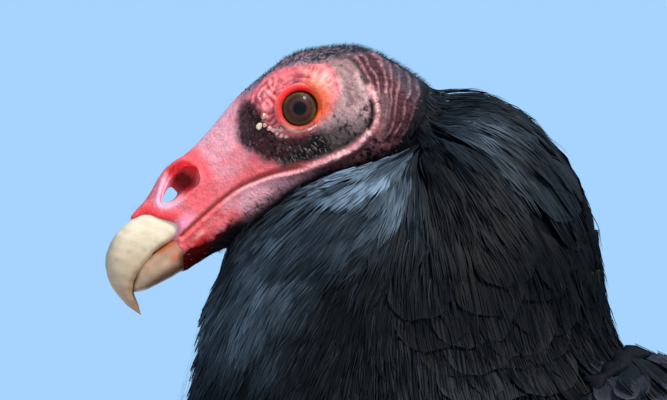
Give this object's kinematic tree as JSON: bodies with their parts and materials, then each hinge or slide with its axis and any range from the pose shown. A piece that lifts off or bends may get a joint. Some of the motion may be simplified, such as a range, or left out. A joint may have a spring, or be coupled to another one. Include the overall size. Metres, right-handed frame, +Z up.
{
  "type": "turkey vulture",
  "caption": "Life-size turkey vulture standing hunched, with bare wrinkled red head, hooked ivory bill, black feather ruff, folded wings and straight tail.",
  "frame": {"origin": "middle of the bird's footprint box at the ground, under its body", "axes": "+Z up; the bird faces -Y, its tail points to +Y and its left side is at +X"},
  "size_m": [0.171, 0.5874, 0.3854],
  "materials": {
    "bare_skin": "wrinkled, satin",
    "bill_horn": "smooth, slightly wet",
    "eye": "wet gloss",
    "feathers": "soft, blue-black sheen",
    "leg_skin": "scaled, matt",
    "claw_horn": "dull horn"
  },
  "bodies": {
    "root": {"head": "bare_skin", "lower_jaw": "bare_skin", "upper_bill": "bill_horn", "lower_bill": "bill_horn", "eye_left": "eye", "eye_right": "eye", "neck": "feathers", "trunk": "feathers", "tail": "feathers", "wing_coverts_left": "feathers", "secondaries_left": "feathers", "primaries_left": "feathers", "wing_coverts_right": "feathers", "secondaries_right": "feathers", "primaries_right": "feathers", "thigh_left": "feathers", "thigh_right": "feathers", "shank_left": "leg_skin", "foot_left": "leg_skin", "shank_right": "leg_skin", "foot_right": "leg_skin", "claw_inner_left": "claw_horn", "claw_middle_left": "claw_horn", "claw_outer_left": "claw_horn", "claw_hind_left": "claw_horn", "claw_inner_right": "claw_horn", "claw_middle_right": "claw_horn", "claw_outer_right": "claw_horn", "claw_hind_right": "claw_horn"}
  },
  "joints": []
}
